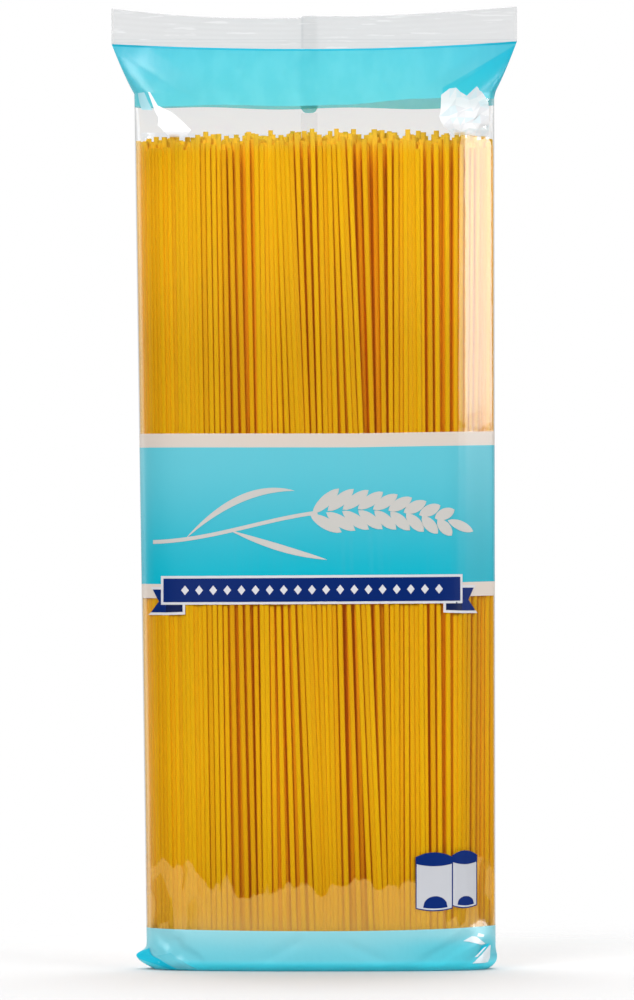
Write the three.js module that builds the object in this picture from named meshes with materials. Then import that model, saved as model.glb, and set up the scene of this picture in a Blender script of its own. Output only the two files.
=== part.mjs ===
// A packet of long pasta: a bundle of straight strands shut in a clear film bag, modelled as the one
// closed body that they make together. Millimetres, +Z up, with the printed front towards -Y.
//
// The bag is a tube of film. It is drawn round the bundle over most of its height, runs in like a
// roof over the strand ends, and is pressed flat into a crimped seal at the top. Its back seam is
// folded flat to one side. The bottom seal is folded flat under the bundle, so the packet stands on it.
import * as THREE from 'three';

// The bundle, as the film is drawn round it.
const BODY_HALF_WIDTH_LOW = 54.3;
const BODY_HALF_WIDTH_HIGH = 56.1;
const BODY_HALF_DEPTH = 16.4;
const BODY_SQUARENESS = 2.7; // 2 is an ellipse, and larger is squarer
const BODY_TOP = 261; // where the film leaves the bundle
const LEAN = 2.2; // how far the bundle's foot sits towards +X

// The roof between the bundle and the seal, and the ears where the flattened tube spreads wider.
const EAR_START = 272.5;
const EAR_CURVE = 0.9;
const ROOF_CURVE = 1.05;
const ROOF_SQUARENESS = 2;

// The crimped seal.
const FIN_HALF_WIDTH = 63.2;
const FIN_HALF_THICKNESS = 0.5;
const FIN_ROOT = 286.7;
const FIN_TOP = 296.3;
const FIN_DIP = -17; // where its edge is lowest
const FIN_TOP_RISE = [3.1, 3.7]; // how far the edge rises to the left and right corners
const ROOT_DIP = -2;
const ROOT_RISE = [1.5, 2.4];
const CRIMPS = 6;
const CRIMP_DEPTH = 0.16;

// The lapped back seam.
const SEAM_FROM = -0.052; // as shares of the half width
const SEAM_TO = 0.15;
const SEAM_THICKNESS = 0.6;
const SEAM_EDGE = 0.004;

// The folded foot.
const FOOT_ROUNDING = [[0, 2.6], [0.5, 1.2], [1.5, 0.4], [3, 0]]; // height and how far it is drawn in
const FOOT_EARS = [3.3, 0.5]; // how far they reach at the left and the right
const FOOT_EAR_HEIGHT = 4.5;
const FOOT_EAR_SPREAD = 2.4;
const FOOT_EAR_SHARE = 0.9; // the outer share of the width that the ear takes in
const FOOT_EAR_THINNING = 0.8;

// Soft dents in the film, deepest where nothing is behind it.
const DENT_WAVES = [[5.1, 1, 0.7], [2.9, 0.7, 1.9], [8.3, 0.5, -1.1]]; // length over 2 pi, strength and phase
const DENT_DRIFT = 31; // the rise over which a wave moves along by one radian
const BODY_DENT = 0.15;
const ROOF_DENT = 0.7;
const FOOT_DENT = 0.35;
const FOOT_DENT_TOP = 16;
const CREASE_DEPTH = 1.1;
const CREASE_WIDTH = 4;
const CREASE_FOOT = [40, 271];
const CREASE_HEAD = [62, 286];
const DEEPEST_DENT = 0.6; // as a share of the half depth there

// How finely the film is divided.
const COLUMNS = 30;
const FOOT_HEIGHTS = [4.5, 6.5, 9, 12.5];
const BODY_STEPS = 7;
const ROOF_STEPS = 11;

const { clamp, lerp, smoothstep } = THREE.MathUtils;

/** How far the value lies from one end towards the other, held between 0 and 1. */
function share(value, from, to) {
  return clamp((value - from) / (to - from), 0, 1);
}

/** Half the width of the packet at a height. */
function halfWidth(height) {
  if (height < EAR_START) {
    return lerp(BODY_HALF_WIDTH_LOW, BODY_HALF_WIDTH_HIGH, height / EAR_START);
  }
  const out = share(height, EAR_START, FIN_ROOT);
  return lerp(BODY_HALF_WIDTH_HIGH, FIN_HALF_WIDTH, out ** EAR_CURVE);
}

/** How far the roof has run in at a height: 0 on the bundle, 1 at the seal. */
function roof(height) {
  return share(height, BODY_TOP, FIN_ROOT);
}

/** Half the depth on the packet's middle line at a height, with the seal's crimps. */
function halfDepth(height) {
  if (height < FIN_ROOT) {
    return lerp(BODY_HALF_DEPTH, FIN_HALF_THICKNESS, roof(height) ** ROOF_CURVE);
  }
  const turns = share(height, FIN_ROOT, FIN_TOP) * CRIMPS;
  return FIN_HALF_THICKNESS - (CRIMP_DEPTH * (1 - Math.cos(2 * Math.PI * turns))) / 2;
}

/** The share of the half depth left at a share of the half width: the section's rounded outline. */
function outline(across, height) {
  if (height >= FIN_ROOT) {
    return Math.abs(across) < 1 ? 1 : 0;
  }
  const squareness = lerp(BODY_SQUARENESS, ROOF_SQUARENESS, roof(height));
  return (1 - Math.abs(across) ** squareness) ** (1 / squareness);
}

/** A curve that is 0 at its dip and rises by the two given amounts to the seal's two ends. */
function sag(x, dip, [riseLeft, riseRight]) {
  const side = x < dip ? -1 : 1;
  const out = clamp((x - dip) / (side * FIN_HALF_WIDTH - dip), 0, 1);
  return out * out * (side < 0 ? riseLeft : riseRight);
}

/** The true height of a film point: the seal and the film below it follow the seal's wavy edges. */
function raised(x, height) {
  const root = sag(x, ROOT_DIP, ROOT_RISE);
  if (height < FIN_ROOT) {
    return height + root * roof(height) ** 2;
  }
  const top = sag(x, FIN_DIP, FIN_TOP_RISE);
  return height + lerp(root, top, share(height, FIN_ROOT, FIN_TOP));
}

/** How far the film is dented inwards at a point of a face. */
function dent(x, height) {
  if (height <= 0 || height >= FIN_ROOT) {
    return 0;
  }
  const wave = ([length, strength, phase]) => strength * Math.sin(x / length + phase + height / DENT_DRIFT);
  const waves = DENT_WAVES.reduce((sum, each) => sum + wave(each), 0);
  const highest = DENT_WAVES.reduce((sum, [, strength]) => sum + strength, 0);
  const loose = ROOF_DENT * Math.sin(Math.PI * roof(height));
  const foot = FOOT_DENT * Math.sin(Math.PI * share(height, 0, FOOT_DENT_TOP));
  return ((BODY_DENT + loose + foot) * (1 + waves / highest)) / 2;
}

/** The fold that runs up each shoulder to the end of the seal. */
function crease(x, height) {
  const [footX, footZ] = CREASE_FOOT;
  const [headX, headZ] = CREASE_HEAD;
  const run = Math.hypot(headX - footX, headZ - footZ);
  const off = ((Math.abs(x) - footX) * (headZ - footZ) - (height - footZ) * (headX - footX)) / run;
  const along = share(height, footZ, headZ);
  return CREASE_DEPTH * Math.max(0, 1 - Math.abs(off) / CREASE_WIDTH) * Math.sin(Math.PI * along);
}

/** How much of the foot's ear there is at a height. */
function footEar(height) {
  return Math.exp(-(((height - FOOT_EAR_HEIGHT) / FOOT_EAR_SPREAD) ** 2));
}

/** How far the film is drawn in at a height near the foot. */
function footInset(height) {
  for (let i = 1; i < FOOT_ROUNDING.length; i += 1) {
    const [low, insetLow] = FOOT_ROUNDING[i - 1];
    const [high, insetHigh] = FOOT_ROUNDING[i];
    if (height <= high) {
      return lerp(insetLow, insetHigh, share(height, low, high));
    }
  }
  return 0;
}

/** The thickness that the lapped seam adds to the back at a share of the half width. */
function seam(across) {
  return across > SEAM_FROM && across < SEAM_TO ? SEAM_THICKNESS : 0;
}

/** One point of the film: side is -1 on the front and 1 on the back. */
function filmPoint(across, side, height) {
  const inset = footInset(height);
  const ear = footEar(height) * share(Math.abs(across), FOOT_EAR_SHARE, 1);
  const reach = halfWidth(height) - inset + FOOT_EARS[across < 0 ? 0 : 1] * ear;
  const flat = across * reach;
  const x = flat + LEAN * (1 - share(height, 0, EAR_START));
  const full = (halfDepth(height) - inset * (1 - roof(height))) * outline(across, height);
  const pressed = Math.min(dent(x * side, height) + crease(flat, height), full * DEEPEST_DENT);
  const depth = (full - pressed) * (1 - FOOT_EAR_THINNING * ear);
  const y = side * depth + (side > 0 ? seam(across) : 0);
  return new THREE.Vector3(x, y, raised(x, height));
}

/** The shares of the half width at which the film is divided, close together at the rounded sides. */
function columnShares() {
  const shares = [];
  for (let i = 0; i <= COLUMNS; i += 1) {
    shares.push(i === 0 || i === COLUMNS ? Math.sign(i - 1) : Math.sin(Math.PI * (i / COLUMNS - 0.5)));
  }
  const seamEdges = [SEAM_FROM, SEAM_FROM + SEAM_EDGE, SEAM_TO - SEAM_EDGE, SEAM_TO];
  const apart = shares.filter((value) => seamEdges.every((edge) => Math.abs(value - edge) > SEAM_EDGE * 2));
  return [...apart, ...seamEdges].sort((a, b) => a - b);
}

/** The heights at which the film is divided, from the foot to the seal's edge. */
function ringHeights() {
  const heights = FOOT_ROUNDING.map(([height]) => height);
  heights.push(...FOOT_HEIGHTS);
  const bodyFrom = heights.at(-1);
  for (let i = 1; i <= BODY_STEPS; i += 1) {
    heights.push(lerp(bodyFrom, BODY_TOP, smoothstep(i / BODY_STEPS, 0, 1)));
  }
  for (let i = 1; i <= ROOF_STEPS; i += 1) {
    heights.push(lerp(BODY_TOP, FIN_ROOT, i / ROOF_STEPS));
  }
  for (let i = 1; i <= CRIMPS * 2; i += 1) {
    heights.push(lerp(FIN_ROOT, FIN_TOP, i / (CRIMPS * 2)));
  }
  return heights;
}

/** One ring of film points: along the front from left to right, then along the back to the left. */
function ring(shares, height) {
  const front = shares.map((across) => filmPoint(across, -1, height));
  const back = shares.slice(1, -1).map((across) => filmPoint(across, 1, height));
  return [...front, ...back.reverse()];
}

/** The triangles that close one end of the tube, as strips from each front point to the back one. */
function capFaces(start, columns, around, upwards) {
  const back = (i) => start + ((around - i) % around);
  const faces = [];
  for (let i = 0; i < columns - 1; i += 1) {
    const [a, b] = [start + i, start + i + 1];
    const [c, d] = [i + 1 === columns - 1 ? b : back(i + 1), back(i)];
    const strip = [[a, b, c], [a, c, d]].filter((face) => new Set(face).size === 3);
    strip.forEach(([p, q, r]) => faces.push(...(upwards ? [p, q, r] : [p, r, q])));
  }
  return faces;
}

/** The closed skin of the packet, with its bounding box centred over the origin. */
function packetGeometry() {
  const shares = columnShares();
  const rings = ringHeights().map((height) => ring(shares, height));
  const around = rings[0].length;
  const faces = capFaces(0, shares.length, around, false);
  for (let level = 0; level < rings.length - 1; level += 1) {
    for (let i = 0; i < around; i += 1) {
      const [a, b] = [level * around + i, level * around + ((i + 1) % around)];
      const [c, d] = [a + around, b + around];
      faces.push(a, b, d, a, d, c);
    }
  }
  faces.push(...capFaces((rings.length - 1) * around, shares.length, around, true));
  const geometry = new THREE.BufferGeometry().setFromPoints(rings.flat());
  geometry.setIndex(faces);
  geometry.computeBoundingBox();
  const middle = geometry.boundingBox.getCenter(new THREE.Vector3());
  geometry.translate(-middle.x, -middle.y, 0);
  geometry.computeVertexNormals();
  return geometry;
}

/** The packet: film over golden strands. */
function packet() {
  const material = new THREE.MeshStandardMaterial({ color: '#d99b0d', roughness: 0.25, metalness: 0 });
  const mesh = new THREE.Mesh(packetGeometry(), material);
  mesh.name = 'packet';
  return mesh;
}

const part = new THREE.Group();
part.add(packet());

export default part;
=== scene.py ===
# %% [markdown]
# # A packet of long pasta
#
# The real thing is a tube of thin clear film, drawn round a bundle of a thousand and more dry
# strands, pressed shut at the top and folded flat under the foot. Almost everything that the eye
# enjoys comes from three layers that lie very close together: glossy film, printed ink on it, and
# round golden strands with deep warm gaps between them. So this lesson makes exactly those layers.

# %% Load the frame
import math

import bpy
import numpy as np
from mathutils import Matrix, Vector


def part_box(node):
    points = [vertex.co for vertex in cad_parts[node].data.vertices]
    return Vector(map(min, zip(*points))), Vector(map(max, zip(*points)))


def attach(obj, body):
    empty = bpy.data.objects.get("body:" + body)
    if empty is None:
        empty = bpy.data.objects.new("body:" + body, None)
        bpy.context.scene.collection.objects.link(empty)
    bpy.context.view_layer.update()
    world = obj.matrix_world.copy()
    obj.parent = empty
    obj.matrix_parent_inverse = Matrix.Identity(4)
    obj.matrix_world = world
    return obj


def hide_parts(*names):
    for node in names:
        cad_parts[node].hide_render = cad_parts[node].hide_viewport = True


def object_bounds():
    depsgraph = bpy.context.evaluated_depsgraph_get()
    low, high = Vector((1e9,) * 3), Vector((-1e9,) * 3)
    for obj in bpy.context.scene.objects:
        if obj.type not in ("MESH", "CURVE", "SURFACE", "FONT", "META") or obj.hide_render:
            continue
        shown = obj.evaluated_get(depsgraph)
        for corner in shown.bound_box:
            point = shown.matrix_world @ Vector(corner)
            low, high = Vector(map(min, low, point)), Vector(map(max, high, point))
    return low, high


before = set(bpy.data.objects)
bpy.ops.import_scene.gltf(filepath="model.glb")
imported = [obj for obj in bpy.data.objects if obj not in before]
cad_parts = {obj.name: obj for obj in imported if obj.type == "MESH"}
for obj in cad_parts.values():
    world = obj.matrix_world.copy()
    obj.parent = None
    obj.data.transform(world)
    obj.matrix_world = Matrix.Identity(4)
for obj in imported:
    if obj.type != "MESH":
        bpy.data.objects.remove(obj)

cad_low, cad_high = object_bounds()
MM = 0.001
packet_low, packet_high = (np.array(corner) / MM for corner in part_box("packet"))
print("the packet measures", np.round(packet_high - packet_low, 1), "mm")

# %% [markdown]
# ## The form of the film
#
# Cut the packet across and the film draws a rounded oblong, the curve called a superellipse. Up the
# packet that section keeps its shape, then runs in like a roof over the strand ends, and at the top
# it is a flat strip. One function of two numbers can say all of this: how far round the tube, and how
# high. Modelling by hand would also work, but a formula lets the strands, the print and the film use
# one and the same surface, so that nothing ever pokes through.

# %% Sizes of the film tube, in millimetres
FIN_HALF_WIDTH = packet_high[0]
FOOT_HALF_WIDTH = 54.3
HEAD_HALF_WIDTH = 56.1
FOOT_BULGE = 0.3
HALF_DEPTH = -packet_low[1] - FOOT_BULGE
LEAN = 2.2
SQUARENESS = 2.7
STRAND_TOP = 261.0
EAR_START = 272.5
FIN_ROOT = 286.7
FIN_TOP = 296.3
FIN_HALF_THICKNESS = 0.22
ROOF_CURVE = 1.05
EAR_CURVE = 0.9


def share(value, low, high):
    """How far the value lies from low towards high, held between 0 and 1."""
    return np.clip((value - low) / (high - low), 0.0, 1.0)


def ease(t):
    """A share from 0 to 1 that starts and stops gently: 3 t squared less 2 t cubed."""
    return t * t * (3.0 - 2.0 * t)


def blend(low, high, t):
    """The value that lies the share t of the way from low to high."""
    return low + (high - low) * t


def hill(value, centre, width):
    """A smooth hill of height 1 at the centre: e to the minus (distance over width) squared."""
    return np.exp(-(((value - centre) / width) ** 2))


def unit(vectors):
    """The vectors at length 1, each along the last axis."""
    return vectors / np.maximum(np.linalg.norm(vectors, axis=-1, keepdims=True), 1e-12)


def roof(h):
    """How far the roof has run in at a height: 0 on the bundle, 1 at the seal."""
    return share(h, STRAND_TOP, FIN_ROOT)


def middle_line(h):
    """The x of the tube's middle: it stands a little to the right at the foot, and straightens upwards."""
    return LEAN * (1 - share(h, 0.0, EAR_START))


def half_width(h):
    """Half the tube's width: it widens slowly up the bundle, then faster in the ears, out to the seal."""
    body = blend(FOOT_HALF_WIDTH, HEAD_HALF_WIDTH, share(h, 0.0, EAR_START))
    return body + (FIN_HALF_WIDTH - HEAD_HALF_WIDTH) * share(h, EAR_START, FIN_ROOT) ** EAR_CURVE


def half_depth(h):
    """Half the tube's depth on its middle line, running in over the roof to the flat seal."""
    return blend(HALF_DEPTH, FIN_HALF_THICKNESS, roof(h) ** ROOF_CURVE)


def outline(across, h):
    """The share of the half depth left at a share across: one minus |across| to the n, and its nth root."""
    n = blend(SQUARENESS, 2.0, roof(h))
    rounded = np.maximum(1.0 - np.abs(across) ** n, 0.0) ** (1.0 / n)
    flat = share(1.0 - np.abs(across), 0.0, 0.01)
    return np.where(h >= FIN_ROOT, flat, rounded)


print("half the film's width at the foot, head and seal:", half_width(np.array([0.0, STRAND_TOP, FIN_ROOT])))

# %% [markdown]
# Film is never quite smooth. Where nothing is behind it, it falls into soft upright dents, and where
# the tube is forced flat, its corners break into creases with sharp edges. The dents are a few sine
# waves, and a crease is a straight valley. The long bright stripe at the right is made by pressing the
# film against flat planes: whatever stands proud of a plane is laid onto it, which leaves a facet with
# a crisp rim, just like a real fold that catches a lamp.

# %% Dents, creases and pressed facets
BUNDLE_DENT, ROOF_DENT = 0.04, 0.5
BAGGY_FOOT = 17.0


def dents(x, side, h):
    """How far the film sinks in: sine waves across, deep on the roof. Round the foot it bags out instead."""
    drift = h / 31.0
    waves = np.sin(x / 5.1 + 0.7 + drift) + 0.7 * np.sin(x * side / 2.9 + 1.9 + 2 * drift)
    waves = 0.5 + (waves + 0.5 * np.sin(x / 8.3 - 1.1 - drift)) / 4.4
    loose = ROOF_DENT * np.sin(np.pi * roof(h)) ** 0.8
    foot = np.sin(np.pi * share(h, 0.0, BAGGY_FOOT))
    return (BUNDLE_DENT + loose) * waves + foot * (0.3 * waves - 1.0)


def crease(x, h, foot, head, width, depth):
    """A straight valley from foot to head, each (x, h): its depth falls off evenly to both sides."""
    run = math.hypot(head[0] - foot[0], head[1] - foot[1])
    off = ((x - foot[0]) * (head[1] - foot[1]) - (h - foot[1]) * (head[0] - foot[0])) / run
    along = ((x - foot[0]) * (head[0] - foot[0]) + (h - foot[1]) * (head[1] - foot[1])) / run**2
    ends = np.clip(4.0 * along, 0, 1) * np.clip(4.0 * (1.0 - along), 0, 1)
    return depth * np.clip(1.0 - np.abs(off) / width, 0, 1) * ends


# Each crease: its side (-1 front, 1 back), its two ends as (x, h), its width and its depth.
CREASES = [
    (-1, (34, 268), (62, 286), 5.0, 0.6),
    (-1, (-34, 268), (-62, 286), 6.0, 0.5),
    (-1, (-28, 266), (-22, 285), 3.0, 0.5),
    (-1, (-4, 268), (-9, 286), 3.5, 0.4),
    (-1, (24, 270), (16, 286), 3.0, 0.4),
    (1, (-38, 271), (-62, 286), 4.0, 1.3),
    (1, (40, 271), (62, 286), 4.0, 1.3),
    (-1, (-53, 13), (-36, 1), 3.0, 1.2),
    (-1, (-44, 12), (-47, 1), 2.2, 0.8),
    (-1, (30, 1), (50, 13), 3.0, 1.2),
    (-1, (45, 1), (53, 10), 2.0, 0.9),
    (-1, (-20, 2), (-4, 11), 2.5, 0.4),
    (-1, (5, 10), (22, 2), 2.5, 0.4),
    (1, (-50, 13), (-30, 1), 3.0, 1.2),
    (1, (28, 1), (52, 12), 3.0, 1.2),
]

# Each pressed facet: an (x, y) that it passes through, and its turn from the front towards +X in degrees.
FACETS = [((45.0, -12.06), 30.0), ((47.3, -10.73), 37.2)]
PRESSED_FROM, PRESSED_TO = 22.0, 256.0
FADE_BELOW, FADE_ABOVE = 14.0, 9.0


def press(points):
    """Lays whatever stands proud of each facet's plane onto it, fading out above and below."""
    z = points[..., 2]
    here = ease(share(z, PRESSED_FROM - FADE_BELOW, PRESSED_FROM))
    here = here * ease(share(z, PRESSED_TO + FADE_ABOVE, PRESSED_TO))
    for through, turn in FACETS:
        normal = np.array([math.sin(math.radians(turn)), -math.cos(math.radians(turn)), 0.0])
        proud = np.maximum((points - np.array([*through, 0.0])) @ normal, 0.0)
        points = points - (proud * here)[..., None] * normal
    return points


# The lines on which the seal starts and ends: the x of the dip, and the rise to the left and right ends.
# The end steps up where the back's lap begins.
ROOT_LINE = (-2.0, 1.5, 2.4)
TOP_LINE = (-17.0, 3.1, 3.7)
STEP, STEP_END, STEP_RISE = -3.8, 14.0, 0.7
# How far the tube draws in under the foot and up to which height. Then the corner ears: their height,
# how far they reach below and above it, and how far out at the left and at the right.
FOOT_ROUNDING, ROUNDED_TO = 2.6, 3.0
FOOT_EAR_HEIGHT, FOOT_EAR_BELOW, FOOT_EAR_ABOVE = 4.2, 2.6, 1.7
FOOT_EARS = (3.3, 0.5)
# How far a dent may sink where strands lie behind the film.
GIVE = 0.03


def seal_edge(x, dip, rise_left, rise_right):
    """A sagging line across the packet: 0 at the dip, rising as a square to both ends of the seal."""
    left = share(dip - x, 0.0, dip + FIN_HALF_WIDTH) ** 2 * rise_left
    right = share(x - dip, 0.0, FIN_HALF_WIDTH - dip) ** 2 * rise_right
    return left + right


def place_across(u):
    """The share across, -1 to 1, at u round the tube: a sine, so that points crowd at both sides."""
    return np.sin(np.pi / 2 * np.where(u < 0.5, 4 * u - 1, 3 - 4 * u))


def film(u, h):
    """The film at u round the tube (0 to 0.5 the front from left to right, then the back) and height h."""
    u, h = np.broadcast_arrays(np.asarray(u, float) % 1.0, np.asarray(h, float))
    side = np.where(u < 0.5, -1.0, 1.0)
    across = place_across(u)
    drawn = FOOT_ROUNDING * (1 - share(h, 0.0, ROUNDED_TO)) ** 2
    ear = hill(h, FOOT_EAR_HEIGHT, np.where(h > FOOT_EAR_HEIGHT, FOOT_EAR_ABOVE, FOOT_EAR_BELOW))
    ear = ear * share(np.abs(across), 0.93, 1.0)
    flat = across * (half_width(h) - drawn + np.where(across < 0, *FOOT_EARS) * ear)
    full = (half_depth(h) - drawn) * outline(across, h)
    sunk = dents(flat, side, h)
    for which, foot, head, width, depth in CREASES:
        sunk = sunk + np.where(which == side, crease(flat, h, foot, head, width, depth), 0.0)
    held = np.where(h < STRAND_TOP - 3.0, GIVE, 0.6 * full)
    sunk = np.where((h <= 0) | (h >= FIN_ROOT), 0.0, np.minimum(sunk, held))
    y = side * (full - sunk) * (1 - 0.85 * ear)
    x = flat + middle_line(h)
    root = seal_edge(x, *ROOT_LINE)
    top = seal_edge(x, *TOP_LINE) + np.where(x > STEP, STEP_RISE * (1 - share(x, STEP, STEP_END)), 0.0)
    z = h + np.where(h < FIN_ROOT, root * roof(h) ** 2, blend(root, top, share(h, FIN_ROOT, FIN_TOP)))
    return press(np.stack([x, y, z], -1))


# Small steps round and up the film, whose cross product points outwards.
SMALL_TURN, SMALL_RISE = 0.0008, 0.2


def laid_on(x, z, lift, side=-1):
    """Points that lie the lift outside the film, in front (side -1) or behind (1), at the given x and z."""
    turn = np.arcsin(np.clip((x - middle_line(z)) / half_width(z), -0.999, 0.999)) / (np.pi / 2)
    u = np.where(side < 0, (turn + 1) / 4, (3 - turn) / 4)
    around = film(u + SMALL_TURN, z) - film(u - SMALL_TURN, z)
    outward = unit(np.cross(around, film(u, z + SMALL_RISE) - film(u, z - SMALL_RISE)))
    return film(u, z) + outward * np.asarray(lift, float)[..., None]


print("the film's front crown lies at y =", np.round(film(0.25, 150.0)[1], 2), "mm")

# %% [markdown]
# ## Meshes from arrays
#
# Every piece below is a grid of points, so one helper numbers the faces of a grid, joining the last
# column to the first when it goes round a tube. Another makes the object, and lets every face choose
# one of the piece's materials.

# %% Grid to mesh


def grid_faces(rows, columns, around=False):
    """Corner numbers of the quads of a grid, row by row; around joins the last column to the first."""
    r = np.arange(rows - 1)[:, None]
    c = np.arange(columns if around else columns - 1)[None, :]
    d = (c + 1) % columns
    corners = r * columns + c, r * columns + d, (r + 1) * columns + d, (r + 1) * columns + c
    return np.stack(corners, -1).reshape(-1, 4)


def added(name, data):
    """A new object of the data, linked to the scene."""
    made = bpy.data.objects.new(name, data)
    bpy.context.scene.collection.objects.link(made)
    return made


def make_piece(name, points, faces, materials, which=None, smooth=True):
    """An object from points in millimetres and faces, with a material number for each face."""
    mesh = bpy.data.meshes.new(name)
    mesh.from_pydata((np.asarray(points).reshape(-1, 3) * MM).tolist(), [], faces)
    for material in materials:
        mesh.materials.append(material)
    if which is not None:
        mesh.polygons.foreach_set("material_index", np.asarray(which, np.int32))
    mesh.polygons.foreach_set("use_smooth", np.full(len(mesh.polygons), smooth))
    mesh.update()
    piece = added(name, mesh)
    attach(piece, "root")
    print(name, "has", len(mesh.polygons), "faces")
    return piece


# %% [markdown]
# ## Shader sums in Python
#
# A node tree is easier to read as a formula. The class below wraps one output socket, and ordinary
# operators on it add the Math nodes, so a mask can be written as 1 - edge * noise.

# %% A socket that can be added and multiplied


class Wire:
    """One shader output that takes part in Python sums; each operator adds its Math node."""

    def __init__(self, paint, socket):
        self.paint, self.socket = paint, socket

    def maths(self, operation, *values, clamp=False):
        """A Math node of the operation on this wire and the values."""
        settings = {"operation": operation, "use_clamp": clamp}
        return self.paint.node("ShaderNodeMath", settings, dict(enumerate((self, *values))))

    def __add__(self, other):
        return self.maths("ADD", other)

    def __sub__(self, other):
        return self.maths("SUBTRACT", other)

    def __mul__(self, other):
        return self.maths("MULTIPLY", other)

    def __rsub__(self, other):
        return (self * -1.0).maths("ADD", other)

    __radd__ = __add__
    __rmul__ = __mul__

    def between(self, low, high, start=0.0, end=1.0):
        """This value's place from low to high, eased and held, as a number from start to end."""
        values = {"Value": self, "From Min": low, "From Max": high, "To Min": start, "To Max": end}
        return self.paint.node("ShaderNodeMapRange", {"interpolation_type": "SMOOTHSTEP"}, values)


class Paint:
    """The nodes of a material, or of the given world, under construction."""

    def __init__(self, name, world=None):
        self.owner = world or bpy.data.materials.new(name)
        self.owner.use_nodes = True
        self.tree = self.owner.node_tree
        self.tree.nodes.clear()

    def node(self, kind, settings=None, values=None, output=0):
        """A node of any kind: its settings first, then the values or wires of its sockets."""
        made = self.tree.nodes.new(kind)
        for key, value in (settings or {}).items():
            setattr(made, key, value)
        for key, value in (values or {}).items():
            if isinstance(value, Wire):
                self.tree.links.new(value.socket, made.inputs[key])
            else:
                made.inputs[key].default_value = value
        return None if output is None else Wire(self, made.outputs[output])

    def place(self):
        """The object coordinates in millimetres: as one vector, then x, y and z."""
        spot = self.node("ShaderNodeTexCoord", output="Object")
        vector = self.node("ShaderNodeVectorMath", {"operation": "SCALE"}, {0: spot, "Scale": 1.0 / MM})
        return vector, *(self.node("ShaderNodeSeparateXYZ", None, {0: vector}, i) for i in range(3))

    def sized(self, vector, size, stretch):
        """The vector measured in steps of size millimetres, drawn out by the stretch."""
        steps = tuple(1.0 / (size * s) for s in stretch)
        return self.node("ShaderNodeVectorMath", {"operation": "MULTIPLY"}, {0: vector, 1: steps})

    def noise(self, vector, size, detail=2.0, stretch=(1, 1, 1)):
        """Cloudy noise with blobs about size millimetres across, drawn out by the stretch."""
        values = {"Vector": self.sized(vector, size, stretch), "Scale": 1.0, "Detail": detail}
        return self.node("ShaderNodeTexNoise", None, values)

    def cells(self, vector, size, stretch=(1, 1, 1)):
        """Straight-edged cells about size millimetres across, each with a random value from 0 to 1."""
        values = {"Vector": self.sized(vector, size, stretch), "Scale": 1.0}
        tint = self.node("ShaderNodeTexVoronoi", None, values, 1)
        return self.node("ShaderNodeSeparateXYZ", None, {0: tint})

    def mix(self, amount, first, second):
        """A colour that lies amount of the way from first to second."""
        colours = [c if isinstance(c, Wire) else (*c, 1.0) for c in (first, second)]
        values = {0: amount, 6: colours[0], 7: colours[1]}
        return self.node("ShaderNodeMix", {"data_type": "RGBA"}, values, 2)

    def bump(self, height, distance, strength):
        """A normal tilted by a height pattern whose full relief is distance in metres."""
        values = {"Height": height, "Distance": distance, "Strength": strength}
        return self.node("ShaderNodeBump", None, values)

    def blended(self, amount, first, second):
        """Two shaders mixed by the amount, as one."""
        return self.node("ShaderNodeMixShader", None, {0: amount, 1: first, 2: second})

    def finish(self, surface, kind="ShaderNodeOutputMaterial"):
        """Connects the shader to the output and gives back the material or world."""
        self.node(kind, None, {"Surface": surface}, None)
        return self.owner


def srgb(red, green, blue):
    """A colour given from 0 to 255 a channel, as the linear light that shaders use."""
    c = np.array([red, green, blue]) / 255.0
    return tuple(np.where(c <= 0.04045, c / 12.92, ((c + 0.055) / 1.055) ** 2.4))


# %% [markdown]
# ## Dry pasta
#
# Durum pasta is a warm gold. Deeper in the bundle, and on the sides and backs of the strands, its colour
# turns a warmer, darker orange, a painted shade for the gaps, and a faint painted glow stands in for
# light coming through the strands. No two strands are dried alike, so each carries a number of its own
# that shifts its colour slightly, and fine streaks run along it. A cut end is dusty and pale.

# %% Pasta materials
PASTA_TIP = srgb(234, 190, 60)
# The colour of a painted glow: an emission deeper in the bundle, for light coming through the pasta.
PAINTED_GLOW = (0.12, 0.055, 0.003)


def pasta_material(name, light, warm, deep):
    """Gold that wanders from strand to strand, with painted shade and a painted glow deeper in, and paler at
    the tips.
    """
    paint = Paint(name)
    vector, _, _, z = paint.place()
    own = paint.node("ShaderNodeAttribute", {"attribute_name": "strand"}, output="Fac")
    inward = paint.node("ShaderNodeAttribute", {"attribute_name": "inward"}, output="Fac")
    streaks = paint.noise(vector, 0.5, 2.0, (1, 1, 90))
    amount = (own.between(0.0, 1.0) + streaks * 0.4).maths("SUBTRACT", 0.2, clamp=True)
    colour = paint.mix(amount, light, warm)
    # Painted shade: a warmer, darker colour deeper in, below the tips, for the shade in the gaps.
    colour = paint.mix(inward.between(0.7, 3.2) * z.between(259.0, 246.0), colour, deep)
    colour = paint.mix(z.between(253.0, 260.0, 0.0, 0.75), colour, PASTA_TIP)
    # Painted glow deeper in, twice as strong just below the tips.
    painted_glow = inward.between(0.45, 1.75, 0.0, 0.5) * (z.between(248.0, 257.0) + 1.0)
    painted_glow = paint.mix(painted_glow, (0.0, 0.0, 0.0), PAINTED_GLOW)
    values = {"Base Color": colour, "Roughness": 0.6, "Specular IOR Level": 0.1}
    values |= {"Emission Color": painted_glow, "Emission Strength": 1.0}
    return paint.finish(paint.node("ShaderNodeBsdfPrincipled", None, values))


# The last colour of each is the painted shade deeper in.
pasta = pasta_material("pasta_gold", srgb(243, 187, 0), srgb(235, 170, 0), srgb(232, 136, 0))
pasta_cut = pasta_material("pasta_cut_end", srgb(250, 220, 120), srgb(245, 205, 90), PASTA_TIP)

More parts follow.
